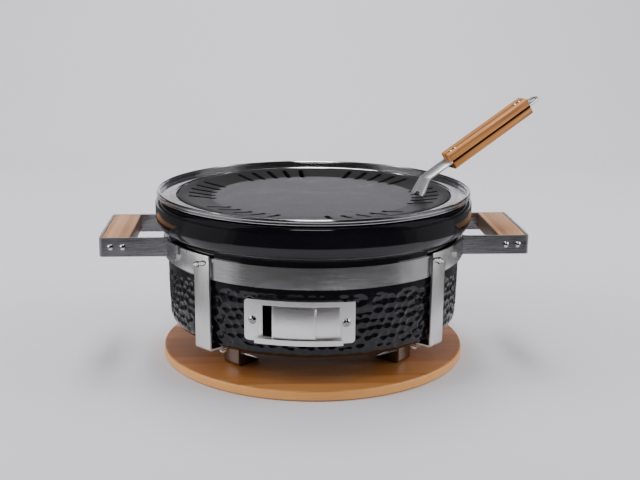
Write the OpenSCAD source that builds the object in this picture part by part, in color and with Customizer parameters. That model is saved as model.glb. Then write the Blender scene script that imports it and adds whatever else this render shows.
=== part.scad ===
// Round table hibachi: glazed ceramic fire bowl in a stainless steel frame with bamboo grips,
// on a bamboo board. Millimetres, +Z up, origin at the middle of the board's underside.

/* [Board] */
// Diameter of the bamboo board
board_d = 340; // [330:2:350]
// Thickness of the bamboo board
board_t = 11; // [10:0.5:12]

/* [Ceramic body] */
// Radius of the wall inside the steel band
wall_r = 163; // [160:0.5:166]
// Radius of the flared rim
rim_r = 175.8; // [174:0.1:178]
// Wall thickness above the grate ledge
wall_t = 16; // [14:0.5:17]
// Height of the body's underside
body_z = 40.5; // [39.5:0.5:41.5]
// Height of the rim's top
rim_z = 181.6; // [180:0.2:184]
// Floor thickness
floor_t = 14; // [12:0.5:16]
// Height of the ledge that carries the charcoal grate
ledge_z = 104; // [102:0.5:110]
// Inner radius of that ledge
ledge_r = 137; // [134:0.5:138]

/* [Steel frame] */
// Width of the flat steel bar
bar_w = 22.4; // [20:0.2:24]
// Thickness of the flat steel bar
bar_t = 2.8; // [2.4:0.1:3]
// Thickness of the band round the body
band_t = 1.8; // [1.6:0.1:2]
// Height of the band's top edge
band_z = 137.5; // [136:0.5:138]
// Height of the side frame's strip above the band
strip_up = 2.5; // [2:0.5:3]
// Angle of each leg, measured from the middle of the side frame
leg_angle = 43.2; // [42:0.2:45]
// Turn of the side frames against the handles
frame_turn = 1; // [-1:0.5:1.5]
// Radius of the foot's upright
foot_r = 128; // [124:1:130]
// Length of the foot's sole
sole_l = 30; // [26:1:34]
// Radius of the screw that joins leg and foot, from the grill's axis
screw_r = 140; // [139:1:143]

/* [Handles] */
// Overall width across both handles
handle_span = 464; // [456:2:472]
// Width of each handle, front to rear
handle_w = 119; // [112:1:124]
// Length of the flange that is welded to the side frame
flange_l = 28; // [24:1:30]
// Height of the handle bar's top edge
handle_z = 144.2; // [143:0.2:145]
// Width of the handle bar, top to bottom
handle_h = 20.6; // [19.6:0.2:21]
// Depth of the bamboo grip, outwards
grip_d = 30; // [26:1:32]
// Height of the bamboo grip
grip_h = 18.4; // [17:0.2:19]

/* [Vent] */
// Angle of the vent from the front, towards the left handle
vent_turn = 8; // [7:0.5:10]
// Half angle of the vent frame
vent_half = 19.85; // [19.5:0.05:20.5]
// Height of the vent frame's lower edge
vent_z0 = 59.4; // [58.5:0.1:60]
// Height of the vent frame's upper edge
vent_z1 = 102.3; // [101.8:0.1:103]
// Angular width of the sliding door
door_sweep = 15.3; // [15:0.1:16]

/* [Griddle] */
// Radius of the cast-iron griddle plate
plate_r = 151.2; // [150.6:0.1:151.4]
// Height of the flat middle of the plate
plate_z = 178; // [177.6:0.1:178.2]
// Height of the plate's rim
plate_rim_z = 182.6; // [182.2:0.1:182.8]
// Slots in each group
slots = 5; // [4:1:5]
// Groups of slots
slot_groups = 6; // [5:1:6]
// Width of a slot
slot_w = 6; // [4.8:0.2:6.4]

/* [Lifter] */
// Width of the lifter's steel blade
blade_w = 20; // [18:0.5:21]
// Thickness of the blade
blade_t = 2; // [1.8:0.1:2.4]
// Length of the wooden handle
scale_l = 117; // [112:1:118]
// Thickness of each wooden scale
scale_t = 8.2; // [7:0.2:9]

/* [Hidden] */
$fn = 96;

STEEL = [0.74, 0.74, 0.75];
BAMBOO = [0.78, 0.55, 0.34];
GLAZE = [0.05, 0.05, 0.06];
IRON = [0.14, 0.14, 0.15];

// heights and radii that follow from the driving dimensions
band_z0 = band_z - bar_w;
strip_z0 = band_z0 + strip_up;   // strip between the legs of a side frame
strip_z1 = band_z + strip_up;
handle_z0 = handle_z - handle_h;
flange_z1 = handle_z - 2.4;      // the flanges are lower than the bar, under the flared rim
side_r0 = wall_r + band_t;
side_r1 = side_r0 + bar_t;
leg_proud = 0.5;                 // the flat legs stand this far outside the curved strip
leg_x0 = side_r0 + leg_proud;
leg_x1 = leg_x0 + bar_t;
flange_r1 = side_r1 + bar_t;
handle_x = handle_span / 2;
arm_y = handle_w / 2;
arm_y0 = arm_y - bar_t;
flange_a0 = asin(arm_y / flange_r1);
flange_sweep = flange_l / flange_r1 * 180 / PI;
leg_sweep = 2 * asin(bar_w / 2 / leg_x1);
tab_z0 = body_z - bar_t;         // leg tab under the body
foot_z1 = tab_z0;                // foot flange under the leg tab
legs = [[-1, -1], [1, -1], [-1, 1], [1, 1]];

// body profile
corner_r = 12;                   // bottom corner of the body
draft = 1.4;                     // the lower wall leans in this much
flare_r = 20;                    // curve of the flared rim
flare_z = 162;                   // height where that curve is widest
flare_x = rim_r - flare_r;
lip_r = 9;                       // rounding of the rim's outer edge
mouth_r = 158;                   // inside of the rim

// vent
vent_r0 = wall_r;
vent_t = 1.6;
vent_r1 = vent_r0 + vent_t;
panel_t = 1.2;
panel_r1 = vent_r1 + panel_t;
door_r0 = panel_r1 + 0.4;
door_r1 = door_r0 + panel_t;
rail_r0 = door_r1 + 1;
rail_t = 1.4;
rail_r1 = rail_r0 + rail_t;
rail_z0 = vent_z0 - 0.8;
rail_z1 = vent_z1 + 2.1;
rail_lip = 5.4;
rail_half = 15.25;
window_half = 12.9;
window_z0 = vent_z0 + 5.6;
window_z1 = vent_z1 - 4.3;
door_a0 = -9.2;                  // left edge of the door as it stands
door_gap = 0.5;                  // play above and below the door
vent_screw_a = 16.75;
vent_mid_z = (vent_z0 + vent_z1) / 2;

// trim ring
ring_t = 1.2;
ring_z = rim_z + ring_t;         // top of the flat flange
ring_in = 154.6;                 // inner edge of the flat flange
collar_r = 152.4;                // inside of the collar round the plate
seat_r = 143;                    // inner edge of the ledge that carries the plate
plate_seat_z = plate_z - 2;
bead_r = 2;

// lifter
lift_tip = [115.3, -10.6, 180.2];
lift_yaw = atan2(0.365, 0.931);
tip_rise = 62;
tip_l = 20.4;
grip_rise = 30.1;
scale_start = 34.2;              // start of the wood, along the blade from the bend
blade_l = 168.8;                 // blade from the bend to the end of the eye
eye_w = 14;
rivet_pitch = 6;
lift_rivet_x = [
    scale_start + 7, scale_start + 7 + rivet_pitch,
    scale_start + scale_l - 7 - rivet_pitch, scale_start + scale_l - 7
];

// points of an arc about [x, y], from angle a0 to a1
function arc(x, y, r, a0, a1, n = 8) =
    [for (i = [0:n]) [x + r * cos(a0 + (a1 - a0) * i / n), y + r * sin(a0 + (a1 - a0) * i / n)]];

// outline of a slot with round ends, along X
function capsule(l, w, n = 6) =
    concat(arc(l / 2 - w / 2, 0, w / 2, -90, 90, n), arc(w / 2 - l / 2, 0, w / 2, 90, 270, n));

// rectangle from a to b with rounded corners
function round_rect(a, b, r, n = 5) = concat(
    arc(b[0] - r, b[1] - r, r, 0, 90, n), arc(a[0] + r, b[1] - r, r, 90, 180, n),
    arc(a[0] + r, a[1] + r, r, 180, 270, n), arc(b[0] - r, a[1] + r, r, 270, 360, n)
);

// part of a turned ring, from angle a0 over the given sweep
module sector(a0, sweep, r0, r1, z0, z1) {
    rotate([0, 0, a0])
        rotate_extrude(angle = sweep)
            translate([r0, z0])
                square([r1 - r0, z1 - z0]);
}

// turns X outwards and Y round the body at the vent's middle
module at_vent(turn = 0) {
    rotate([0, 0, 270 - vent_turn + turn]) children();
}

// puts children at a leg, with X outwards
module at_leg(side) {
    rotate([0, 0, frame_turn + atan2(side[1] * sin(leg_angle), side[0] * cos(leg_angle))]) children();
}

// strip folded in the XZ plane, with the strip's width along Y
module folded(points, w) {
    rotate([90, 0, 0])
        linear_extrude(height = w, center = true)
            polygon(points);
}

// points of a low dome of radius r and height h, from its edge at height z to its top
function dome(r, h, z = 0, n = 5) =
    let (ball = (r * r + h * h) / (2 * h))
    arc(0, z + h - ball, ball, atan2(ball - h, r), 90, n);

// dome-head pin along +Z: the head stands on z = 0 and the shank runs down from it
module dome_pin(head_r, head_h, shank_r, shank_l) {
    rotate_extrude($fn = 48)
        polygon(concat(
            [[0, -shank_l], [shank_r, -shank_l], [shank_r, 0], [head_r, 0]], dome(head_r, head_h)
        ));
}

// rivet along Z with a dome head at each end, l long between its heads
module dome_rivet(head_r, head_h, shank_r, l) {
    upper = concat([[shank_r, l / 2], [head_r, l / 2]], dome(head_r, head_h, l / 2));
    rotate_extrude($fn = 48)
        polygon(concat([for (i = [len(upper) - 1:-1:0]) [upper[i][0], -upper[i][1]]], upper));
}

module bamboo_board() {
    edge_r = 2.5;
    color(BAMBOO)
        rotate_extrude()
            polygon(concat(
                [[0, 0]],
                arc(board_d / 2 - edge_r, edge_r, edge_r, -90, 0),
                arc(board_d / 2 - edge_r, board_t - edge_r, edge_r, 0, 90),
                [[0, board_t]]
            ));
}

module ceramic_body() {
    floor_r = 3;
    well_r = ledge_r;
    inner = wall_r - wall_t;
    vent_hole_w = 80;
    color(GLAZE)
        difference() {
            rotate_extrude($fn = 180)
                polygon(concat(
                    [[0, body_z]],
                    arc(wall_r - draft - corner_r, body_z + corner_r, corner_r, -90, 0),
                    [[wall_r - 0.2, 88], [wall_r, band_z0 - 3]],
                    arc(flare_x, flare_z, flare_r, -acos((wall_r - flare_x) / flare_r), 0, 12),
                    arc(rim_r - lip_r, rim_z - lip_r, lip_r, 0, 90),
                    [[mouth_r, rim_z], [mouth_r, 170]],
                    [[inner, 140], [inner, ledge_z], [well_r, ledge_z]],
                    arc(well_r - floor_r, body_z + floor_t + floor_r, floor_r, 0, -90),
                    [[0, body_z + floor_t]]
                ));
            at_vent()
                translate([ledge_r - 20, -vent_hole_w / 2, window_z0 - 2])
                    cube([60, vent_hole_w, window_z1 - window_z0 + 4]);
            vent_screw_holes(wall_r - 14, 2);
        }
}

module charcoal_grate() {
    grate_r = 141.5;
    grate_t = 7;
    pitch = 16;
    gap_w = 8;
    rows = [-8:8];
    color(IRON)
        difference() {
            translate([0, 0, ledge_z]) cylinder(r = grate_r, h = grate_t);
            for (i = rows) {
                half = sqrt(pow(grate_r - 9, 2) - pow(i * pitch, 2));
                for (side = [-1, 1])
                    translate([side * (half / 2 + 2), i * pitch, ledge_z - 1])
                        linear_extrude(height = grate_t + 2)
                            polygon(capsule(half - 4, gap_w));
            }
        }
}

module band() {
    color(STEEL) sector(0, 360, wall_r, side_r0, band_z0, band_z);
}

// flat leg, bent in under the body, with its top cut slanting for the weld; inner is the side of
// the leg that faces the front or rear of the band
module leg(inner) {
    tab_end = screw_r - 12;
    bend_r = 4;
    csk_r = 4.8;
    shank_r = 2.6;
    half = bar_w / 2;
    high_z = band_z - 4;
    low_z = band_z - 10.4;
    over = 5;
    over_z = over * (high_z - low_z) / bar_w;
    difference() {
        folded(concat(
            [[leg_x1, band_z], [leg_x0, band_z]],
            arc(leg_x0 - bend_r + bar_t, tab_z0 + bend_r, bend_r - bar_t, 0, -90, 4),
            [[tab_end, body_z], [tab_end, tab_z0]],
            arc(leg_x1 - bend_r, tab_z0 + bend_r, bend_r, -90, 0, 6)
        ), bar_w);
        translate([leg_x0 - over, 0, 0])
            rotate([90, 0, 90])
                linear_extrude(height = 20)
                    polygon([
                        [inner * (half + over), band_z + over], [-inner * (half + over), band_z + over],
                        [-inner * (half + over), low_z - over_z], [inner * (half + over), high_z + over_z]
                    ]);
        translate([screw_r, 0, tab_z0 - 1]) cylinder(r = shank_r, h = bar_t + 2);
        translate([screw_r, 0, body_z - 2.2]) cylinder(r1 = shank_r, r2 = csk_r, h = 2.2);
    }
}

// side +1 is the right one; a curved strip joins the front leg and the rear leg
module side_frame(side) {
    half = leg_angle + leg_sweep / 2 - 0.35;
    color(STEEL)
        union() {
            sector(frame_turn + (side > 0 ? 0 : 180) - half, 2 * half, side_r0, side_r1,
                strip_z0, strip_z1);
            at_leg([side, -1]) leg(-side);
            at_leg([side, 1]) leg(side);
        }
}

// U-shaped bar with its two flanges bent along the side frame
module handle_bracket(side) {
    corner = 4.5;
    toe_r = 9;
    flange_end = flange_a0 + flange_sweep;
    x0 = sqrt(pow(flange_r1, 2) - pow(arm_y, 2)) - 1;
    color(STEEL)
        rotate([0, 0, side > 0 ? 0 : 180])
            difference() {
                union() {
                    translate([0, 0, handle_z0])
                        linear_extrude(height = handle_h)
                            polygon(concat(
                                [[x0, -arm_y]],
                                arc(handle_x - corner, corner - arm_y, corner, -90, 0),
                                arc(handle_x - corner, arm_y - corner, corner, 0, 90),
                                [[x0, arm_y], [x0, arm_y0]],
                                arc(handle_x - corner, arm_y - corner, corner - bar_t, 90, 0),
                                arc(handle_x - corner, corner - arm_y, corner - bar_t, 0, -90),
                                [[x0, -arm_y0]]
                            ));
                    for (m = [-1, 1])
                        sector(
                            m > 0 ? flange_a0 - 0.9 : -flange_end, flange_sweep + 0.9,
                            side_r1, flange_r1, handle_z0, flange_z1
                        );
                }
                for (m = [-1, 1])
                    flange_toe(m * flange_end, -m, toe_r);
                for (m = [-1, 1])
                    handle_rivet_places()
                        translate([0, m * arm_y, 0])
                            rotate([90, 0, 0])
                                cylinder(r = 2, h = 3 * bar_t, center = true);
            }
}

// cutter that rounds the lower corner of a flange's end
module flange_toe(angle, way, r) {
    rotate([0, 0, angle])
        translate([side_r1 - 4, way > 0 ? 0 : -r, handle_z0])
            difference() {
                translate([0, way > 0 ? -2 : 0, -2]) cube([14, r + 2, r + 2]);
                translate([-1, way > 0 ? r : 0, r]) rotate([0, 90, 0]) cylinder(r = r, h = 16);
            }
}

// the two rivets of an arm, by their place along the arm
module handle_rivet_places() {
    for (inset = [12.5, 25.5])
        translate([handle_x - inset, 0, handle_z - handle_h / 2]) children();
}

// the grip's outer ends are rounded to clear the bends of the bar
module handle_grip(side) {
    x1 = handle_x - bar_t;
    end_r = 2.4;
    color(BAMBOO)
        rotate([0, 0, side > 0 ? 0 : 180])
            difference() {
                intersection() {
                    rotate([90, 0, 0])
                        linear_extrude(height = 2 * arm_y0 + 2, center = true)
                            polygon(round_rect([x1 - grip_d, handle_z - grip_h], [x1, handle_z], 1.6));
                    translate([0, 0, handle_z - grip_h - 1])
                        linear_extrude(height = grip_h + 2)
                            polygon(round_rect([x1 - 2 * grip_d, -arm_y0], [x1, arm_y0], end_r));
                }
                for (m = [-1, 1])
                    handle_rivet_places()
                        translate([0, m * arm_y0, 0])
                            rotate([90, 0, 0])
                                cylinder(r = 2, h = 24, center = true);
            }
}

module handle_rivets() {
    color(STEEL)
        for (side = [0, 180])
            rotate([0, 0, side])
                for (m = [-1, 1])
                    handle_rivet_places()
                        translate([0, m * arm_y, 0])
                            rotate([-m * 90, 0, 0])
                                dome_pin(3.4, 1.9, 2, bar_t + 11);
}

// folded foot: flange under the leg tab, upright, and sole with two side gussets
module foot(side) {
    bend_r = 4;
    x1 = foot_r;
    x0 = foot_r - bar_t;
    toe = foot_r - sole_l;
    out = screw_r + 11;
    color(STEEL)
        at_leg(side)
            difference() {
                union() {
                    folded(concat(
                        [[out, foot_z1 - bar_t], [out, foot_z1]],
                        arc(x0 + bend_r, foot_z1 - bend_r, bend_r, 90, 180, 5),
                        [[x0, board_t + bar_t], [toe, board_t + bar_t], [toe, board_t]],
                        arc(x1 - bend_r, board_t + bend_r, bend_r, -90, 0, 5),
                        [[x1, foot_z1 - bar_t]]
                    ), bar_w);
                    for (m = [-1, 1])
                        translate([0, m * (bar_w / 2 - 1), 0])
                            folded([
                                [x0, board_t + 1], [x0, board_t + 15],
                                [toe + 2, board_t + bar_t], [toe + 2, board_t + 1]
                            ], 2);
                }
                translate([screw_r, 0, foot_z1 - bar_t - 1]) cylinder(r = 2.6, h = bar_t + 2);
            }
}

module foot_screws() {
    color(STEEL)
        for (side = legs)
            at_leg(side)
                translate([screw_r, 0, 0])
                    union() {
                        translate([0, 0, body_z - 2.2]) cylinder(r1 = 2.5, r2 = 4.7, h = 2.2);
                        translate([0, 0, foot_z1 - bar_t - 4.5])
                            cylinder(r = 2.5, h = bar_t * 2 + 4.5 - 1.4);
                    }
}

module foot_nuts() {
    hex_r = 5;
    hex_h = 3.4;
    dome_r = 3.9;
    color(STEEL)
        for (side = legs)
            at_leg(side)
                translate([screw_r, 0, foot_z1 - bar_t])
                    difference() {
                        union() {
                            translate([0, 0, -hex_h]) cylinder(r = hex_r, h = hex_h, $fn = 6);
                            translate([0, 0, -hex_h]) sphere(r = dome_r);
                        }
                        translate([0, 0, -5]) cylinder(r = 2.55, h = 6);
                        translate([0, 0, 0]) cylinder(r = 8, h = 8);
                    }
}

// radial holes for the two vent screws, from radius r outwards
module vent_screw_holes(r, hole_r) {
    for (m = [-1, 1])
        at_vent(m * vent_screw_a)
            translate([r, 0, vent_mid_z])
                rotate([0, 90, 0])
                    cylinder(r = hole_r, h = 30);
}

// cutter that rounds one outer corner of the vent frame
module vent_corner(side, top) {
    r = 4;
    at_vent(side * vent_half)
        translate([vent_r0 - 4, 0, top > 0 ? vent_z1 : vent_z0])
            difference() {
                translate([0, side > 0 ? -r : -3, top > 0 ? -r : -3]) cube([12, r + 3, r + 3]);
                translate([-1, -side * r, -top * r]) rotate([0, 90, 0]) cylinder(r = r, h = 14);
            }
}

module vent_frame() {
    color(STEEL)
        difference() {
            union() {
                at_vent(-rail_half)
                    rotate_extrude(angle = 2 * rail_half)
                        polygon([
                            [vent_r0, rail_z0], [rail_r1, rail_z0],
                            [rail_r1, rail_z0 + rail_lip], [rail_r0, rail_z0 + rail_lip],
                            [rail_r0, rail_z0 + rail_t], [vent_r1, rail_z0 + rail_t],
                            [vent_r1, rail_z1 - rail_t], [rail_r0, rail_z1 - rail_t],
                            [rail_r0, rail_z1 - rail_lip], [rail_r1, rail_z1 - rail_lip],
                            [rail_r1, rail_z1], [vent_r0, rail_z1]
                        ]);
                for (a = [-vent_half, rail_half])
                    at_vent(a)
                        sector(0, vent_half - rail_half, vent_r0, vent_r1, vent_z0, vent_z1);
            }
            at_vent(-window_half)
                sector(0, 2 * window_half, vent_r0 - 2, vent_r1 + 2, window_z0, window_z1);
            vent_screw_holes(vent_r0 - 5, 2);
            for (side = [-1, 1], top = [-1, 1]) vent_corner(side, top);
        }
}

module vent_fixed_panel() {
    color(STEEL)
        at_vent(-1)
            sector(0, rail_half, vent_r1, panel_r1, rail_z0 + rail_t, rail_z1 - rail_t);
}

module vent_screws() {
    head_r = 4.5;
    head_h = 2.5;
    cross = [4.4, 0.9, 1.6];
    color(STEEL)
        for (m = [-1, 1])
            at_vent(m * vent_screw_a)
                translate([vent_r1, 0, vent_mid_z])
                    rotate([0, 90, 0])
                        difference() {
                            dome_pin(head_r, head_h, 2, 14);
                            for (a = [45, 135])
                                translate([0, 0, head_h]) rotate([0, 0, a]) cube(cross, center = true);
                        }
}

// sliding door with its finger lip bent out at the right-hand edge
module vent_door() {
    lip_a = door_sweep - 0.42;
    lip_out = 6.4;
    color(STEEL)
        at_vent(door_a0)
            union() {
                sector(0, door_sweep, door_r0, door_r1,
                    rail_z0 + rail_t + door_gap, rail_z1 - rail_t - door_gap);
                rotate([0, 0, lip_a])
                    translate([0, panel_t / 2, 0])
                        folded([
                            [door_r0, window_z0 + 1], [door_r0 + 2, window_z0 + 1],
                            [door_r0 + lip_out, window_z0 + 7], [door_r0 + lip_out, window_z1 - 7],
                            [door_r0 + 2, window_z1 - 1], [door_r0, window_z1 - 1]
                        ], panel_t);
            }
}

// rolled ring: upright double bead, flat flange, collar and ledge for the plate
module trim_ring() {
    bead_x = 172.1;
    bead_z = ring_z + 3.2;
    low_r = 1.5;
    low_x = 172.4;
    low_z = ring_z + 0.3;
    color(STEEL)
        rotate_extrude($fn = 180)
            polygon(concat(
                [[seat_r, plate_seat_z - ring_t], [collar_r + ring_t, plate_seat_z - ring_t]],
                [[collar_r + ring_t, rim_z - 1]],
                arc(ring_in + 0.2, rim_z - 1, 1, 180, 90, 4),
                [[low_x, rim_z]],
                arc(low_x, low_z, low_r, -53, 60, 6),
                arc(bead_x, bead_z, bead_r, -50, 215, 14),
                [[bead_x - 1.4, ring_z]],
                arc(ring_in + 0.2, rim_z - 1, 2.2, 90, 180, 5),
                [[collar_r, plate_seat_z], [seat_r, plate_seat_z]]
            ));
}

module griddle_plate() {
    flat_r = 114;
    rim_in = 145;
    under = 4.2;
    pitch = 8.5;
    turn = -69;
    slot_r0 = 109;
    slot_l = 31;
    color(IRON)
        difference() {
            rotate_extrude($fn = 180)
                polygon(concat(
                    [[0, plate_z - under], [flat_r, plate_z - under], [134, plate_z - under + 1]],
                    [[141, plate_seat_z], [plate_r, plate_seat_z]],
                    arc(plate_r - 1.5, plate_rim_z - 1.5, 1.5, 0, 90, 4),
                    [[rim_in, plate_rim_z], [flat_r, plate_z], [0, plate_z]]
                ));
            for (g = [0:slot_groups - 1], i = [0:slots - 1])
                rotate([0, 0, turn + g * 360 / slot_groups + (i - (slots - 1) / 2) * pitch])
                    translate([slot_r0 + slot_l / 2, 0, plate_z - 10])
                        linear_extrude(height = 20)
                            polygon(capsule(slot_l, slot_w));
        }
}

// puts children on the lifter's handle: X along it from the bend, Z off its face
module on_lifter(rise = grip_rise) {
    translate(lift_tip)
        rotate([0, 0, lift_yaw])
            translate([tip_l * cos(tip_rise), 0, tip_l * sin(tip_rise)])
                rotate([0, -rise, 0])
                    children();
}

module lifter_blade() {
    tip_w = 25;
    neck = 3;
    tang_w = 18.6;
    knuckle_r = blade_t / 2 + 0.15;  // the bend is a little proud of both faces
    hole_l = 10.5;
    hole_w = 8;
    color(STEEL)
        difference() {
            union() {
                on_lifter(tip_rise)
                    translate([0, 0, -blade_t / 2])
                        linear_extrude(height = blade_t)
                            polygon([
                                [0, -blade_w / 2], [0, blade_w / 2], [4 - tip_l, tip_w / 2],
                                [-tip_l, tip_w / 2], [-tip_l, 5], [3.6 - tip_l, 3.6],
                                [3.6 - tip_l, -3.6], [-tip_l, -5], [-tip_l, -tip_w / 2],
                                [4 - tip_l, -tip_w / 2]
                            ]);
                on_lifter()
                    rotate([90, 0, 0])
                        cylinder(r = knuckle_r, h = blade_w, center = true);
                on_lifter()
                    translate([0, 0, -blade_t / 2])
                        linear_extrude(height = blade_t)
                            polygon(concat(
                                [[0, -blade_w / 2], [scale_start - neck, -blade_w / 2]],
                                [[scale_start, -tang_w / 2], [blade_l - 22, -tang_w / 2]],
                                arc(blade_l - eye_w / 2, 0, eye_w / 2, -90, 90, 10),
                                [[blade_l - 22, tang_w / 2], [scale_start, tang_w / 2]],
                                [[scale_start - neck, blade_w / 2], [0, blade_w / 2]]
                            ));
            }
            on_lifter()
                translate([blade_l - 2.6 - hole_l / 2, 0, -5])
                    linear_extrude(height = 10)
                        polygon(capsule(hole_l, hole_w, 8));
            lifter_rivet_places() cylinder(r = 1.75, h = 20, center = true);
        }
}

module lifter_rivet_places() {
    on_lifter()
        for (x = lift_rivet_x)
            translate([x, 0, 0]) children();
}

// one wooden scale, above (+1) or below (-1) the blade
module lifter_scale(side) {
    z0 = side > 0 ? blade_t / 2 : -blade_t / 2 - scale_t;
    half = blade_w / 2;
    end_r = 3;
    color(BAMBOO)
        difference() {
            on_lifter()
                intersection() {
                    translate([scale_start - 1, 0, 0])
                        rotate([90, 0, 90])
                            linear_extrude(height = scale_l + 2)
                                polygon(round_rect([-half, z0], [half, z0 + scale_t], 2));
                    translate([0, 0, z0 - 1])
                        linear_extrude(height = scale_t + 2)
                            polygon(round_rect([scale_start, -half - 1], [scale_start + scale_l, half + 1],
                                end_r));
                }
            lifter_rivet_places() cylinder(r = 1.75, h = 3 * scale_t, center = true);
        }
}

module lifter_rivets() {
    color(STEEL)
        lifter_rivet_places() dome_rivet(2.4, 0.7, 1.75, blade_t + 2 * scale_t);
}

bamboo_board();
ceramic_body();
charcoal_grate();
band();
side_frame(-1);  // side_frame_left
side_frame(1);  // side_frame_right
handle_bracket(-1);  // handle_bracket_left
handle_bracket(1);  // handle_bracket_right
handle_grip(-1);  // handle_grip_left
handle_grip(1);  // handle_grip_right
handle_rivets();
foot([-1, -1]);  // foot_front_left
foot([1, -1]);  // foot_front_right
foot([-1, 1]);  // foot_rear_left
foot([1, 1]);  // foot_rear_right
foot_screws();
foot_nuts();
vent_frame();
vent_fixed_panel();
vent_screws();
vent_door();
trim_ring();
griddle_plate();
lifter_blade();
lifter_scale(1);  // lifter_scale_upper
lifter_scale(-1);  // lifter_scale_lower
lifter_rivets();
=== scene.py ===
"""Looks of the round table hibachi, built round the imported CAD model. Metres, +Z up."""
import math
from functools import lru_cache

import bmesh
import bpy
from mathutils import Matrix, Vector, noise


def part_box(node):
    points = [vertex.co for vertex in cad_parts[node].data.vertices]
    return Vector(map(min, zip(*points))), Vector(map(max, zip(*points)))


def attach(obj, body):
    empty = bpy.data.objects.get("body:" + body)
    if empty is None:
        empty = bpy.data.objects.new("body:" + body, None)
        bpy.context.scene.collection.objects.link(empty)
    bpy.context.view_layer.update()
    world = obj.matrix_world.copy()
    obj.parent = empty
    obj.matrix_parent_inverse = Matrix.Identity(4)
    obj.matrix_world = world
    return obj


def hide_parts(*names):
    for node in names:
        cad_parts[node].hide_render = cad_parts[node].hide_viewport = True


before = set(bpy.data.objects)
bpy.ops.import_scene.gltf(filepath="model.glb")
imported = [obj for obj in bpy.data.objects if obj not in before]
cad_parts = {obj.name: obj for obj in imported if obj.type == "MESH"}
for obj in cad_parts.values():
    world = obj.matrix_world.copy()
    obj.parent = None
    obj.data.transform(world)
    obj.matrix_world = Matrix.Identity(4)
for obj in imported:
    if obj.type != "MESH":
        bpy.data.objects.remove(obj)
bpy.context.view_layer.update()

MM = 0.001
PATTERN_SEED = 1794837146               # picks the noise that places dimples and weld ripples
noise.seed_set(PATTERN_SEED)            # without it the clock picks, and no two runs are alike


# ---------------------------------------------------------------- shape helpers
def box_of(node):
    """Lowest and highest corner of a CAD node."""
    low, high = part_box(node)
    return Vector(low), Vector(high)


def arc(x, y, radius, start, end, steps):
    """Points of an arc about (x, y), in degrees."""
    turns = [math.radians(start + (end - start) * i / steps) for i in range(steps + 1)]
    return [(x + radius * math.cos(a), y + radius * math.sin(a)) for a in turns]


def ring_points(radius, height, angles):
    """Points at the angles of a level circle round the grill."""
    return [(radius * math.cos(a), radius * math.sin(a), height) for a in angles]


# ---------------------------------------------------------------- sizes
BAND_LOW, BAND_HIGH = box_of("band")
BODY_LOW, BODY_HIGH = box_of("ceramic_body")

BAND_T = 1.8 * MM                       # thickness of the band round the body
BAR_T = 2.8 * MM                        # thickness of the flat steel bar
WALL_R = BAND_HIGH.x - BAND_T           # radius of the wall inside the band
SIDE_R = WALL_R + BAND_T + BAR_T        # outside of the side frames
RIM_R = BODY_HIGH.x                     # radius of the flared rim
LEG_ANGLE = math.radians(43.2)          # each leg, from the middle of its side frame
FRAME_TURN = math.radians(1)            # turn of the side frames against the handles
VENT_TURN = math.radians(270 - 8)       # the vent, from +X round the body
LIFTER_TURN = (0, math.radians(-30.1), math.radians(21.4))    # slope and heading of the lifter
LIFTER_TANG = (231.4 * MM, 348.4 * MM)  # ends of its wooden handle, along its own length


# ---------------------------------------------------------------- camera
VIEW_TURN = 3.4                         # degrees, towards the right handle
VIEW_PITCH = 0.2403                     # radians, downwards
VIEW_ROLL = 0.0071                      # radians, with its right side raised
VIEW_PLACE = (-0.0614, -1.159, 0.4104)
LENS, SENSOR = 59.32, 36                # millimetres


def make_camera():
    """A camera that sees the grill as in the reference view, a little to its left."""
    turn = math.radians(VIEW_TURN)
    ahead = Vector((math.sin(turn) * math.cos(VIEW_PITCH), math.cos(turn) * math.cos(VIEW_PITCH),
                    -math.sin(VIEW_PITCH)))
    right = Vector((math.cos(turn), -math.sin(turn), 0))
    up = right.cross(ahead)
    side = right * math.cos(VIEW_ROLL) + up * math.sin(VIEW_ROLL)
    top = up * math.cos(VIEW_ROLL) - right * math.sin(VIEW_ROLL)
    data = bpy.data.cameras.new("camera")
    data.lens, data.sensor_width = LENS, SENSOR
    camera = bpy.data.objects.new("camera", data)
    bpy.context.scene.collection.objects.link(camera)
    axes = Matrix((side, top, -ahead)).transposed().to_4x4()
    camera.matrix_world = Matrix.Translation(VIEW_PLACE) @ axes
    bpy.context.scene.camera = camera


# ---------------------------------------------------------------- floor, cards and lights
DARK_CLOTH = 0.010                      # grey of the cards, from 0 black to 1 white
CARD_MIDDLE = -90 + VIEW_TURN           # degrees from +X, a little right of the grill's front
CARD_FAR = 2.3                          # radius at which the cards on the floor end
CARD_GAP = 0.6 * MM                     # height of the cards on the floor
CARDS = (                               # start, end, near, top and shade of each sector
    (-56, 53, 0.45, 4.0, DARK_CLOTH),   # the room in front
    (-63, -56, 0.45, 4.0, 0.08),
    (53, 63, 0.45, 4.0, 0.08),
    (63, 102, 0.40, 0.60, 0.16),        # low cards at the sides
    (-102, -63, 0.40, 0.60, 0.16),
    (102, 165, 0.25, 0.60, 0.08),       # low cards towards the back
    (-165, -102, 0.25, 0.60, 0.08))


def glossy_flag(name, corners, shade=DARK_CLOTH):
    """A card that only mirror-like surfaces see, as a photographer's flag."""
    mesh = bpy.data.meshes.new(name)
    mesh.from_pydata(corners, [], [tuple(range(len(corners)))])
    mesh.materials.append(plain_material(name + "_cloth", (shade, shade, shade * 1.05), 0.9))
    flag = bpy.data.objects.new(name, mesh)
    bpy.context.scene.collection.objects.link(flag)
    for ray in ("camera", "diffuse", "shadow", "transmission", "volume_scatter"):
        setattr(flag, "visible_" + ray, False)


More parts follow.
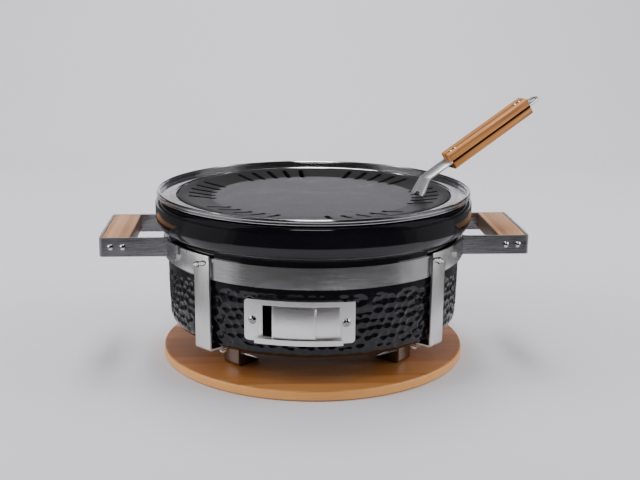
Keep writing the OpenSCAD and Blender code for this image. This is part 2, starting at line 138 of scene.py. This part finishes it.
def flag_sector(start, end, near, top, shade):
    """A card on the floor, from radius near, and cards of height top that stand behind it.

    start and end are degrees from CARD_MIDDLE, to the right as the camera sees it."""
    steps = 8
    turns = [math.radians(CARD_MIDDLE + start + (end - start) * i / steps)
             for i in range(steps + 1)]
    glossy_flag("floor_flag", ring_points(near, CARD_GAP, turns)
                + ring_points(CARD_FAR, CARD_GAP, turns[::-1]), shade)
    for a, b in zip(turns, turns[1:]):
        glossy_flag("side_flag", ring_points(CARD_FAR, 0, (a, b))
                    + ring_points(CARD_FAR, top, (b, a)), shade)


def make_flags():
    """Dark cards in front of the grill, at its sides, above it and high up behind it."""
    for sector in CARDS:
        flag_sector(*sector)
    ceiling, corners = 3.6, 24
    around = [2 * math.pi * i / corners for i in range(corners)]
    glossy_flag("ceiling_flag", ring_points(CARD_FAR, ceiling, around))
    behind, low, high, half, steps = 1.7, 0.56, 2.6, 75, 12
    turns = [math.radians(90 - half + 2 * half * i / steps) for i in range(steps + 1)]
    for a, b in zip(turns, turns[1:]):
        glossy_flag("back_flag", ring_points(behind, low, (a, b))
                    + ring_points(behind, high, (b, a)))


def make_floor():
    """A sheet of pale paper that curves up behind the grill."""
    front, back, rise, bend, half, drop = -8.0, 2.2, 3.6, 0.9, 8.0, 0.2 * MM
    outline = [(front, 0.0)] + arc(back - bend, bend, bend, -90, 0, 12) + [(back, rise)]
    verts = [(x, y, z - drop) for y, z in outline for x in (-half, half)]
    faces = [(2 * i, 2 * i + 1, 2 * i + 3, 2 * i + 2) for i in range(len(outline) - 1)]
    mesh = bpy.data.meshes.new("studio_floor")
    mesh.from_pydata(verts, [], faces)
    mesh.shade_smooth()
    floor = bpy.data.objects.new("studio_floor", mesh)
    bpy.context.scene.collection.objects.link(floor)
    mesh.materials.append(plain_material("studio_paper", (0.745, 0.733, 0.772), 0.85))


def area_light(name, place, target, size, power):
    """A soft rectangular light at place, turned towards target."""
    data = bpy.data.lights.new(name, "AREA")
    data.shape, data.size, data.size_y = "RECTANGLE", size[0], size[1]
    data.energy = power
    light = bpy.data.objects.new(name, data)
    light.location = place
    aim = Vector(target) - Vector(place)
    light.rotation_mode = "QUATERNION"
    light.rotation_quaternion = aim.to_track_quat("-Z", "Y")
    bpy.context.scene.collection.objects.link(light)
    return light


def make_lights():
    """Soft boxes round the grill and a grey sky. Gives the two key lights."""
    middle, paper = (0, 0, 0.12), (0, 2.2, 0.9)
    keys = (area_light("key_left", (-1.9, -0.35, 1.0), middle, (1.5, 1.4), power=30),
            area_light("key_right", (1.9, -0.25, 1.0), middle, (1.5, 1.4), power=27))
    area_light("front_top", (-0.10, -1.25, 2.25), middle, (0.90, 0.24), power=6)
    area_light("back_top", (-0.02, 0.45, 1.9), middle, (0.42, 1.5), power=18)
    area_light("backdrop", (0, 0.9, 2.1), paper, (2.6, 0.5), power=26)
    world = bpy.data.worlds.new("studio")
    world.use_nodes = True
    sky = world.node_tree.nodes["Background"].inputs
    sky["Color"].default_value = (0.80, 0.80, 0.83, 1)
    sky["Strength"].default_value = 0.50
    bpy.context.scene.world = world
    return keys


def keep_off(lights, pieces):
    """Stops the lights from shining on some pieces, as a barn door does."""
    shaded = bpy.data.collections.new("shaded_from_keys")
    for piece in pieces:
        shaded.objects.link(piece)
    for link in shaded.collection_objects:
        link.light_linking.link_state = "EXCLUDE"
    for light in lights:
        light.light_linking.receiver_collection = shaded


# ---------------------------------------------------------------- material helpers
def scaled(colour, share):
    """A colour made darker or lighter."""
    return tuple(c * share for c in colour)


def stretched(axis, slow, fine):
    """A scale that draws a pattern out along one axis."""
    return tuple(slow if i == axis else fine for i in range(3))


class Shader:
    """A Principled material with short calls for the nodes that feed it."""

    def __init__(self, name, colour, roughness, turned=None, **values):
        self.turned = turned
        self.material = bpy.data.materials.new(name)
        self.material.use_nodes = True
        self.tree = self.material.node_tree
        self.bsdf = self.tree.nodes["Principled BSDF"]
        self.set("Base Color", (*colour, 1))
        self.set("Roughness", roughness)
        for socket, value in values.items():
            self.set(socket.replace("_", " "), value)

    def set(self, socket, value):
        self.bsdf.inputs[socket].default_value = value

    def feed(self, socket, source):
        self.link(source, self.bsdf.inputs[socket])

    def node(self, kind, **values):
        made = self.tree.nodes.new(kind)
        for key, value in values.items():
            setattr(made, key, value)
        return made

    def link(self, source, target):
        self.tree.links.new(source, target)

    def math(self, operation, a, b=None):
        made = self.node("ShaderNodeMath", operation=operation)
        for socket, value in zip(made.inputs, (a, b)):
            if value is None:
                continue
            if isinstance(value, (int, float)):
                socket.default_value = value
            else:
                self.link(value, socket)
        return made.outputs[0]

    def split(self, vector):
        """The x, y and z of a vector."""
        made = self.node("ShaderNodeSeparateXYZ")
        self.link(vector, made.inputs[0])
        return made.outputs

    def radius(self, parts):
        """Distance from the Z axis of a place, given as its x, y and z."""
        square = self.math("ADD", self.math("MULTIPLY", parts[0], parts[0]),
                           self.math("MULTIPLY", parts[1], parts[1]))
        return self.math("SQRT", square)

    def place(self, scale=(1, 1, 1), polar=False):
        """Object coordinates, or with polar (angle, height, radius), times scale.

        Where the material is turned, they are turned back to the piece's own axes first."""
        coords = self.node("ShaderNodeTexCoord").outputs["Object"]
        if self.turned:
            turn = self.node("ShaderNodeVectorRotate", rotation_type="EULER_XYZ", invert=True)
            turn.inputs["Rotation"].default_value = self.turned
            self.link(coords, turn.inputs["Vector"])
            coords = turn.outputs[0]
        if polar:
            parts = self.split(coords)
            join = self.node("ShaderNodeCombineXYZ")
            self.link(self.math("ARCTAN2", parts[1], parts[0]), join.inputs[0])
            self.link(parts[2], join.inputs[1])
            self.link(self.radius(parts), join.inputs[2])
            coords = join.outputs[0]
        mapping = self.node("ShaderNodeMapping")
        mapping.inputs["Scale"].default_value = scale
        self.link(coords, mapping.inputs[0])
        return mapping.outputs[0]

    def noise(self, where, scale, detail=4, rough=0.55, distortion=0.0):
        made = self.node("ShaderNodeTexNoise")
        self.link(where, made.inputs["Vector"])
        made.inputs["Scale"].default_value = scale
        made.inputs["Detail"].default_value = detail
        made.inputs["Roughness"].default_value = rough
        made.inputs["Distortion"].default_value = distortion
        return made.outputs[0]

    def spread(self, value, low, high, to_low, to_high):
        """Maps low..high to to_low..to_high, held at the ends."""
        made = self.node("ShaderNodeMapRange")
        self.link(value, made.inputs["Value"])
        for key, number in (("From Min", low), ("From Max", high), ("To Min", to_low),
                            ("To Max", to_high)):
            made.inputs[key].default_value = number
        return made.outputs[0]

    def walls(self, low, high, most):
        """most on upright faces and 0 on level ones, by how far the normal points up or down."""
        normal = self.split(self.node("ShaderNodeTexCoord").outputs["Normal"])
        return self.spread(self.math("ABSOLUTE", normal[2]), low, high, most, 0.0)

    def ramp(self, value, stops):
        """Colours along value: stops is [(place, (r, g, b)), ...]."""
        made = self.node("ShaderNodeValToRGB")
        self.link(value, made.inputs[0])
        ramp = made.color_ramp
        while len(ramp.elements) < len(stops):
            ramp.elements.new(0.5)
        for element, (where, colour) in zip(ramp.elements, stops):
            element.position = where
            element.color = (*colour, 1)
        return made.outputs[0]

    def mix(self, factor, a, b):
        """Colour a where factor is 0 and b where it is 1. The colours' sockets are 6, 7 and 2."""
        made = self.node("ShaderNodeMix", data_type="RGBA")
        for socket, value in ((made.inputs[0], factor), (made.inputs[6], a), (made.inputs[7], b)):
            if isinstance(value, tuple):
                socket.default_value = (*value, 1)
            else:
                self.link(value, socket)
        return made.outputs[2]

    def bump(self, height, strength, distance, under=None):
        made = self.node("ShaderNodeBump")
        made.inputs["Strength"].default_value = strength
        made.inputs["Distance"].default_value = distance
        self.link(height, made.inputs["Height"])
        if under is not None:
            self.link(under, made.inputs["Normal"])
        return made.outputs[0]


# ---------------------------------------------------------------- materials
def plain_material(name, colour, roughness):
    """Studio paper or card cloth: one colour with a faint mottle."""
    shader = Shader(name, colour, roughness)
    mottle = shader.noise(shader.place(), 6, 3)
    shader.feed("Base Color", shader.mix(mottle, colour, scaled(colour, 0.985)))
    return shader.material


def steel_material(name, colour, roughness, grain, polar=False, streak=0.10, bump=0.05,
                   metal=1.0, turned=None, tang=None):
    """Brushed stainless: fine streaks along the axis where grain is small.

    Between the two ends that tang gives, the steel is painted dark: painted shade between the
    wooden scales."""
    shader = Shader(name, colour, roughness, turned, Metallic=metal)
    fine = shader.noise(shader.place(grain, polar), 1.0, 5, 0.62)
    broad = shader.noise(shader.place(), 14, 3)
    tint = shader.mix(fine, scaled(colour, 1 - streak), colour)
    smudge = shader.spread(broad, 0.42, 0.72, 0.0, 0.16)
    tint = shader.mix(smudge, tint, scaled(colour, 0.8))
    if tang:
        start, end = tang
        # painted shade: the tang between the two wooden scales is painted near black
        soft, tang_shade = 0.5 * MM, (0.020, 0.012, 0.008)
        along = shader.split(shader.place())[0]
        hidden = shader.math("MULTIPLY", shader.spread(along, start, start + soft, 0.0, 1.0),
                             shader.spread(along, end - soft, end, 1.0, 0.5))
        tint = shader.mix(hidden, tint, tang_shade)
    shader.feed("Base Color", tint)
    streaks = shader.spread(fine, 0.3, 0.7, roughness - 0.06, roughness + 0.07)
    prints = shader.spread(broad, 0.45, 0.75, 0.0, 0.08)
    shader.feed("Roughness", shader.math("ADD", streaks, prints))
    shader.feed("Normal", shader.bump(fine, bump, 0.2 * MM))
    return shader.material


def glaze_material():
    """Thick black gloss glaze with a slight orange peel."""
    shader = Shader("black_glaze", (0.004, 0.004, 0.006), 0.07, IOR=1.46)
    where = shader.place()
    peel = shader.noise(where, 55, 2, 0.4)
    ripple = shader.noise(where, 260, 2, 0.5)
    cloud = shader.noise(where, 9, 3)
    shader.feed("Base Color", shader.mix(cloud, (0.003, 0.003, 0.005), (0.009, 0.008, 0.011)))
    shader.feed("Roughness", shader.spread(ripple, 0.3, 0.8, 0.05, 0.13))
    low = shader.bump(peel, 0.10, 1.2 * MM)
    shader.feed("Normal", shader.bump(ripple, 0.04, 0.25 * MM, low))
    return shader.material


def iron_material(name, colour, roughness, grit, disc=None):
    """Cast iron: fine sand-cast grain. Outside the radius disc, and on walls, it is painted
    blacker: painted shade on the sloping rim and in the slots.
    """
    shader = Shader(name, colour, roughness, Metallic=0.0, Specular_IOR_Level=0.34)
    where = shader.place()
    grain = shader.noise(where, 1500, 3, 0.6)
    blotch = shader.noise(where, 28, 4, 0.6)
    tint = shader.mix(shader.spread(blotch, 0.3, 0.8, 0, 1), colour, scaled(colour, 1.7))
    rough = shader.spread(grain, 0.25, 0.75, roughness - 0.07, roughness + 0.07)
    rough = shader.math("ADD", rough, shader.spread(blotch, 0.3, 0.8, -0.04, 0.05))
    if disc:
        # painted shade: the slope outside the disc and the upright walls, such as the slots' sides,
        # get a darker colour
        radius = shader.radius(shader.split(shader.place()))
        outside = shader.spread(radius, disc - 0.4 * MM, disc + 1.2 * MM, 0.0, 1.0)
        wall = shader.walls(0.3, 0.8, 1.0)
        for mask, shade, dull in ((outside, 0.12, 0.09), (wall, 0.08, 0.40)):
            tint = shader.mix(mask, tint, scaled(colour, shade))
            rough = shader.math("ADD", rough, shader.math("MULTIPLY", mask, dull))
    shader.feed("Base Color", tint)
    shader.feed("Roughness", rough)
    shader.feed("Normal", shader.bump(grain, grit, 0.25 * MM))
    return shader.material


def bamboo_material(name, along, strip, dark, middle, pale, rim=None, roughness=0.42,
                    turned=None, grain=620, fleck=0.30):
    """Glued bamboo strips. along is the grain's axis, strip the width of one strip in metres.

    rim is the colour of upright faces, and fleck the strength of the fibres' contrast."""
    shader = Shader(name, pale, roughness, turned, Coat_Weight=0.06, Coat_Roughness=0.3)
    across = shader.split(shader.place())[1 if along == 0 else 0]
    wobble = shader.noise(shader.place(stretched(along, 6, 40)), 1.0, 2)
    fibre = shader.noise(shader.place(stretched(along, grain / 60, grain)), 1.0, 4, 0.6, 0.3)
    flow = shader.noise(shader.place(stretched(along, 5, 60)), 1.0, 3, 0.55, 0.6)
    wander = shader.math("MULTIPLY", wobble, 1.2 * MM)
    cell = shader.math("DIVIDE", shader.math("ADD", across, wander), strip)
    pick = shader.node("ShaderNodeTexWhiteNoise", noise_dimensions="1D")
    shader.link(shader.math("FLOOR", cell), pick.inputs["W"])
    tone = shader.math("MULTIPLY", pick.outputs["Value"], 0.42)
    cloud = shader.math("MULTIPLY", flow, 0.42)
    speckle = shader.math("ADD", shader.math("MULTIPLY", fibre, fleck), (0.30 - fleck) / 2)
    shade = shader.math("ADD", tone, shader.math("ADD", cloud, speckle))
    colour = shader.ramp(shade, [(0.28, dark), (0.55, middle), (0.85, pale)])
    seam = shader.math("LESS_THAN", shader.math("FRACT", cell), 0.045)
    colour = shader.mix(shader.math("MULTIPLY", seam, 0.35), colour, scaled(dark, 0.45))
    if rim:
        edge = shader.mix(fibre, rim, scaled(rim, 0.7))
        colour = shader.mix(shader.walls(0.25, 0.9, 0.8), colour, edge)
    shader.feed("Base Color", colour)
    shader.feed("Roughness", shader.spread(fibre, 0.3, 0.7, roughness - 0.08, roughness + 0.10))
    shader.feed("Normal", shader.bump(fibre, 0.12, 0.15 * MM))
    return shader.material


# ---------------------------------------------------------------- mesh helpers
def add_object(name, mesh, material, body):
    """Links a finished mesh as a piece that rides on a body."""
    made = bpy.data.objects.new(name, mesh)
    bpy.context.scene.collection.objects.link(made)
    mesh.materials.clear()
    mesh.materials.append(material)
    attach(made, body)
    return made


def turned_mesh(name, outline, segments, shape):
    """Turns a closed (radius, height) outline round Z.

    shape(radius, height, angle) gives each point's radius."""
    mesh = bpy.data.meshes.new(name)
    bm = bmesh.new()
    rings = []
    for radius, height in outline:
        if radius == 0:
            rings.append([bm.verts.new((0, 0, height))])
            continue
        ring = []
        for i in range(segments):
            angle = 2 * math.pi * i / segments
            r = shape(radius, height, angle)
            ring.append(bm.verts.new((r * math.cos(angle), r * math.sin(angle), height)))
        rings.append(ring)
    for low, high in zip(rings, rings[1:]):
        for i in range(segments):
            j = (i + 1) % segments
            if len(low) == 1:
                bm.faces.new((low[0], high[j], high[i]))
            elif len(high) == 1:
                bm.faces.new((low[i], low[j], high[0]))
            else:
                bm.faces.new((low[i], low[j], high[j], high[i]))
    bmesh.ops.recalc_face_normals(bm, faces=bm.faces)
    bm.to_mesh(mesh)
    bm.free()
    mesh.shade_smooth()
    return mesh


def apply_modifiers(made):
    """Makes an object's modifiers part of its mesh."""
    bpy.context.view_layer.update()
    graph = bpy.context.evaluated_depsgraph_get()
    mesh = bpy.data.meshes.new_from_object(made.evaluated_get(graph))
    made.modifiers.clear()
    made.data = mesh


def softened(node, material, body, width, segments=2, flat=0.6, clamp=True):
    """A copy of a CAD node with its sharp edges rounded, which stands for the node.

    width is the rounding's, and faces that meet at less than flat degrees are joined first."""
    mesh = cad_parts[node].data.copy()
    bm = bmesh.new()
    bm.from_mesh(mesh)
    bmesh.ops.remove_doubles(bm, verts=bm.verts, dist=0.002 * MM)
    bmesh.ops.dissolve_limit(bm, angle_limit=math.radians(flat), verts=bm.verts, edges=bm.edges)
    bm.to_mesh(mesh)
    bm.free()
    if mesh.attributes.get("custom_normal"):
        mesh.attributes.remove(mesh.attributes["custom_normal"])
    made = add_object(node + "_finished", mesh, material, body)
    bevel = made.modifiers.new("edges", "BEVEL")
    bevel.width, bevel.segments, bevel.limit_method = width, segments, "ANGLE"
    bevel.angle_limit = math.radians(30)
    bevel.use_clamp_overlap = clamp
    apply_modifiers(made)
    made.data.shade_smooth()
    made.data.set_sharp_from_angle(angle=math.radians(35))
    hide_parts(node)


def give(node, material):
    """Gives a CAD node that stays its material."""
    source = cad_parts[node]
    source.data.materials.clear()
    source.data.materials.append(material)


# ---------------------------------------------------------------- ceramic body
DIMPLE_Z = 9.2 * MM                     # from row to row
DIMPLES = 102                           # in one row
DIMPLE_REACH = 5.3 * MM                 # radius of one dimple
DIMPLE_DEPTH = 1.55 * MM
DIMPLES_LOW = BODY_LOW.z + 5 * MM       # where the pattern starts and ends
DIMPLES_HIGH = BAND_LOW.z - 7 * MM
DIMPLES_FADE = 4 * MM                   # over which it dies away at both ends


@lru_cache(maxsize=None)
def dimple_shift(row, column):
    """How far one dimple strays from its place (across, up) and how its size differs."""
    return tuple(noise.noise_vector(Vector((7.3 * column, 3.1 * row, 0.5))))


def dimple_depth(radius, height, angle):
    """Depth of the hammered pattern at a point of the lower wall. Small dimples are shallower."""
    if not DIMPLES_LOW < height < DIMPLES_HIGH:
        return 0.0
    fade = min(1.0, (height - DIMPLES_LOW) / DIMPLES_FADE, (DIMPLES_HIGH - height) / DIMPLES_FADE)
    stray_across, stray_up, swelling, wide, tall = 0.62, 0.70, 0.28, 0.95, 1.08
    pitch = 2 * math.pi / DIMPLES
    row = (height - DIMPLES_LOW) / DIMPLE_Z
    deepest = 0.0
    for j in range(math.floor(row) - 1, math.floor(row) + 3):
        column = angle / pitch - 0.5 * (j % 2)
        for k in range(math.floor(column) - 1, math.floor(column) + 3):
            across, up, swell = dimple_shift(j, k % DIMPLES)
            du = (column - k - across * stray_across) * pitch * radius * wide
            dv = (row - j - up * stray_up) * DIMPLE_Z * tall
            size = 1 + swelling * swell
            away = math.hypot(du, dv) / (DIMPLE_REACH * size)
            deepest = max(deepest, DIMPLE_DEPTH * size * max(0.0, 1 - away * away) ** 1.2)
    return deepest * fade


def bowl_outline():
    """The bowl's section, from the middle of its underside out, up and back inside."""
    base, top = BODY_LOW.z, BODY_HIGH.z
    corner, draft, wall_steps = 12 * MM, 1.4 * MM, 54
    low, high = base + corner, BAND_LOW.z - 3 * MM
    flare, flare_z, lip, round_in = 20 * MM, 162 * MM, 9 * MM, 2 * MM
    mouth, mouth_z, inner, inner_z = 158 * MM, 170 * MM, 147 * MM, 140 * MM
    ledge, step, well, hollow, floor = 104 * MM, 1.5 * MM, 137 * MM, 20 * MM, base + 14 * MM
    points = [(0, base)] + arc(WALL_R - draft - corner, low, corner, -90, 0, 10)
    for share in (i / wall_steps for i in range(1, wall_steps + 1)):
        points.append((WALL_R - draft * (1 - share) ** 2, low + (high - low) * share))
    start = -math.degrees(math.acos((WALL_R - RIM_R + flare) / flare))
    points += arc(RIM_R - flare, flare_z, flare, start, 0, 16)
    points += arc(RIM_R - lip, top - lip, lip, 0, 90, 12)
    points += arc(mouth + round_in, top - round_in, round_in, 90, 180, 4)
    points += [(mouth, mouth_z), (inner, inner_z), (inner, ledge + step), (inner - step, ledge)]
    points += arc(well + round_in, ledge - round_in, round_in, 90, 180, 4)
    points += arc(well - hollow, floor + hollow, hollow, 0, -90, 8)
    return points + [(0, floor)]


def make_ceramic(material):
    """Glazed bowl: dimpled lower wall, plain neck under the band, flared rim and vent hole."""
    outside, segments = WALL_R - 12 * MM, 1040

    def shape(radius, height, angle):
        return radius if radius < outside else radius - dimple_depth(radius, height, angle)

    mesh = turned_mesh("ceramic_bowl", bowl_outline(), segments, shape)
    made = add_object("ceramic_bowl", mesh, material, "grill")
    cut_vent_hole(made)
    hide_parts("ceramic_body")
    return made


def cut_vent_hole(bowl):
    """Cuts the vent's opening through the bowl's wall, behind the fixed panel and the door."""
    panel_low, panel_high = box_of("vent_fixed_panel")
    overlap, near, far, half = 3.2 * MM, 115 * MM, 180 * MM, 40 * MM
    low, high = panel_low.z + overlap, panel_high.z - overlap
    mesh = bpy.data.meshes.new("vent_cutter")
    bm = bmesh.new()
    bmesh.ops.create_cube(bm, size=1)
    size = Matrix.Diagonal((far - near, 2 * half, high - low, 1))
    place = Matrix.Translation(((near + far) / 2, 0, (low + high) / 2))
    bm.transform(Matrix.Rotation(VENT_TURN, 4, "Z") @ place @ size)
    bm.to_mesh(mesh)
    bm.free()
    cutter = bpy.data.objects.new("vent_cutter", mesh)
    bpy.context.scene.collection.objects.link(cutter)
    cut = bowl.modifiers.new("vent", "BOOLEAN")
    cut.operation, cut.solver, cut.object = "DIFFERENCE", "EXACT", cutter
    apply_modifiers(bowl)
    bpy.data.objects.remove(cutter)
    bowl.data.set_sharp_from_angle(angle=math.radians(60))


# ---------------------------------------------------------------- weld beads
WELD_RUNS = {  # (side, end): (share of the leg's width, size in mm) of each bead
    (-1, -1): ((0.04, 1.1), (0.22, 1.5), (0.44, 1.2), (0.60, 1.4), (0.72, 1.0)),
    (1, -1): ((0.88, 1.1), (0.72, 1.4), (0.50, 1.7), (0.27, 1.2)),
    (-1, 1): ((0.12, 1.2), (0.24, 1.5), (0.36, 1.3), (0.72, 1.5), (0.82, 1.2)),
    (1, 1): ((0.15, 1.4), (0.45, 1.6), (0.55, 1.3), (0.65, 1.4), (0.88, 1.1))}


def weld_balls(beads, turn, inner, swell, flat):
    """A mesh of flattened balls in a run up the slanting top of a leg at the angle turn."""
    low, high, half, face = 127.6 * MM, 134.0 * MM, 11.2 * MM, SIDE_R + 0.2 * MM
    squash, ripple, ripple_scale = 0.95, 0.25 * MM, 700
    bm = bmesh.new()
    for share, size in beads:
        side = half * (2 * share - 1)
        place = Vector((math.sqrt(face ** 2 - side ** 2), inner * side, low + (high - low) * share))
        shape = Matrix.Diagonal((flat, 1.0, squash, 1)) @ Matrix.Scale(swell * size * MM, 4)
        ball = Matrix.Rotation(turn, 4, "Z") @ Matrix.Translation(place) @ shape
        bmesh.ops.create_icosphere(bm, subdivisions=3, radius=1, matrix=ball)
    for vert in bm.verts:
        vert.co += noise.noise_vector(vert.co * ripple_scale) * ripple
    mesh = bpy.data.meshes.new("weld")
    bm.to_mesh(mesh)
    bm.free()
    return mesh


def make_welds(bead_steel, scale_and_shade_iron):
    """A run of bright beads where each leg meets its side frame, on a flat dark patch that is weld
    scale and also painted shade round the beads.
    """
    layers = (("weld_", bead_steel, "bright_steel", 1.55, 1.25),
              # the second layer is a dark patch: partly weld scale, partly painted shade round the
              # beads
              ("weld_scale_", scale_and_shade_iron, "frame_steel", 2.4, 0.30))
    for (side, end), beads in WELD_RUNS.items():
        turn = FRAME_TURN + math.atan2(end * math.sin(LEG_ANGLE), side * math.cos(LEG_ANGLE))
        leg = ("front_" if end < 0 else "rear_") + ("left" if side < 0 else "right")
        for name, finish, slot, swell, flat in layers:
            mesh = weld_balls(beads, turn, side * end, swell, flat)
            bead = add_object(name + leg, mesh, finish, "grill")
            melt = bead.modifiers.new("melt", "REMESH")
            melt.mode, melt.voxel_size, melt.use_smooth_shade = "VOXEL", 0.22 * MM, True
            apply_modifiers(bead)
            bead.data.shade_smooth()


# ---------------------------------------------------------------- build
make_camera()
make_floor()
make_flags()
KEY_LIGHTS = make_lights()

GLAZE = glaze_material()
PLATE_IRON = iron_material("plate_iron", (0.040, 0.040, 0.044), 0.31, 0.06, disc=114 * MM)
GRATE_IRON = iron_material("grate_iron", (0.045, 0.042, 0.040), 0.62, 0.35)
# weld scale and painted shade: the near-black patch also stands for the shadow line round the weld
# beads
WELD_SCALE_AND_SHADE = iron_material("weld_scale", (0.008, 0.007, 0.008), 0.75, 0.2)
# rim paints the board's upright edge lighter orange: partly its own paler edge grain, partly
# painted light from the front lights
BOARD_BAMBOO = bamboo_material(
    "board_bamboo", 0, 21 * MM, dark=(0.25, 0.075, 0.014), middle=(0.43, 0.155, 0.032),
    pale=(0.66, 0.29, 0.090), rim=(0.98, 0.46, 0.13))
GRIP_BAMBOO = bamboo_material(
    "grip_bamboo", 1, 6.2 * MM, dark=(0.32, 0.135, 0.052), middle=(0.53, 0.27, 0.13),
    pale=(0.68, 0.40, 0.215), rim=(0.085, 0.030, 0.012), roughness=0.5)
LIFTER_WOOD = bamboo_material(
    "lifter_wood", 0, 4.5 * MM, dark=(0.16, 0.045, 0.008), middle=(0.50, 0.18, 0.032),
    pale=(0.74, 0.35, 0.10), turned=LIFTER_TURN, grain=300, fleck=1.1)
BAND_STEEL = steel_material("band_steel", (0.98, 0.965, 0.96), 0.17, (6, 2600, 2600),
                            polar=True, bump=0.03)
VENT_STEEL = steel_material("vent_steel", (0.95, 0.93, 0.92), 0.30, (6, 2200, 2200), polar=True)
RING_STEEL = steel_material("ring_steel", (0.62, 0.62, 0.63), 0.11, (3, 900, 900), polar=True,
                            streak=0.05, bump=0.02)
LEG_STEEL = steel_material("leg_steel", (0.80, 0.78, 0.77), 0.28, (1500, 1500, 22))
# painted shade: a darker copy of the stand's steel for the feet low under the bowl
SHADED_FOOT_STEEL = steel_material("shaded_foot_steel", (0.30, 0.275, 0.26), 0.12, (700, 700, 30))
HANDLE_STEEL = steel_material("handle_steel", (0.61, 0.61, 0.63), 0.27, (22, 22, 1900))
LIFTER_STEEL = steel_material("lifter_steel", (0.95, 0.95, 0.97), 0.34, (500, 900, 900),
                              streak=0.22, bump=0.12, turned=LIFTER_TURN, tang=LIFTER_TANG)
BRIGHT_STEEL = steel_material("bright_steel", (0.70, 0.70, 0.71), 0.14, (90, 90, 90), streak=0.05)
# painted shade: a darker copy of the bright steel, for the dark rings round screw heads and rivets
SHADED_SCREW_STEEL = steel_material("shaded_screw_steel", (0.44, 0.43, 0.43), 0.12, (90, 90, 90), streak=0.05)
WELD_STEEL = steel_material("weld_steel", (0.95, 0.95, 0.95), 0.25, (300, 300, 300),
                            streak=0.05, metal=0.45)
# partly the nut's pale zinc plating, partly painted light: nearly white with little metal, so it
# shows bright in the bowl's shadow
NUT_STEEL = steel_material("nut_steel", (0.97, 0.95, 0.93), 0.20, (200, 200, 200),
                           streak=0.05, metal=0.15)

keep_off(KEY_LIGHTS, (make_ceramic(GLAZE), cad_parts["trim_ring"]))
for node, material in (
        ("bamboo_board", BOARD_BAMBOO), ("charcoal_grate", GRATE_IRON),
        ("griddle_plate", PLATE_IRON), ("trim_ring", RING_STEEL), ("band", BAND_STEEL),
        ("handle_rivets", BRIGHT_STEEL), ("foot_screws", BRIGHT_STEEL), ("foot_nuts", NUT_STEEL),
        ("vent_frame", VENT_STEEL), ("vent_screws", SHADED_SCREW_STEEL), ("lifter_rivets", SHADED_SCREW_STEEL)):
    give(node, material)
for side in ("left", "right"):
    softened("side_frame_" + side, LEG_STEEL, "grill", 0.35 * MM)
    softened("handle_bracket_" + side, HANDLE_STEEL, "grill", 0.4 * MM)
    softened("handle_grip_" + side, GRIP_BAMBOO, "grill", 0.8 * MM)
    for end in ("front", "rear"):
        softened(f"foot_{end}_{side}", SHADED_FOOT_STEEL, "grill", 0.35 * MM)
for node, body in (("vent_fixed_panel", "grill"), ("vent_door", "vent_slider")):
    softened(node, VENT_STEEL, body, 0.2 * MM, flat=0.02, clamp=False)
make_welds(WELD_STEEL, WELD_SCALE_AND_SHADE)
softened("lifter_blade", LIFTER_STEEL, "lifter", 0.3 * MM)
for place in ("upper", "lower"):
    softened("lifter_scale_" + place, LIFTER_WOOD, "lifter", 1.6 * MM, segments=3)
